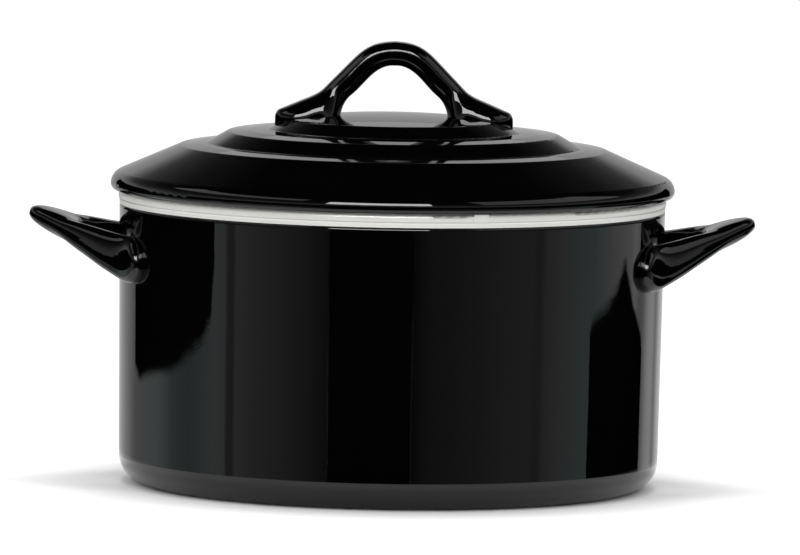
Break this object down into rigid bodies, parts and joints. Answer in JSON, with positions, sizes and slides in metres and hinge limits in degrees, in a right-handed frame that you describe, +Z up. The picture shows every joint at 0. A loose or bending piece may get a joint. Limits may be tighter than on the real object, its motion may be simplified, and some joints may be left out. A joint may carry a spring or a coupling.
{
  "type": "lidded casserole pot",
  "caption": "Round straight-walled casserole pot with two upswept ear handles, a steel rim band and a stepped dome lid with an arched strap handle.",
  "frame": {"origin": "centre of the pot's footprint, on the surface it stands on", "axes": "+Z up along the pot's axis, +X towards the right-hand ear handle, +Y away from the viewer of the picture"},
  "size_m": [0.3198, 0.2484, 0.1957],
  "materials": {
    "pot_enamel": "glossy black vitreous enamel on steel",
    "lid_enamel": "glossy black vitreous enamel on steel",
    "handle_enamel": "glossy black vitreous enamel on steel",
    "rim_steel": "polished stainless steel"
  },
  "bodies": {
    "root": {"pot_body": "pot_enamel", "rim_band": "rim_steel", "side_handle_right": "handle_enamel", "side_handle_left": "handle_enamel", "lid_shell": "lid_enamel", "lid_handle": "handle_enamel"}
  },
  "joints": []
}
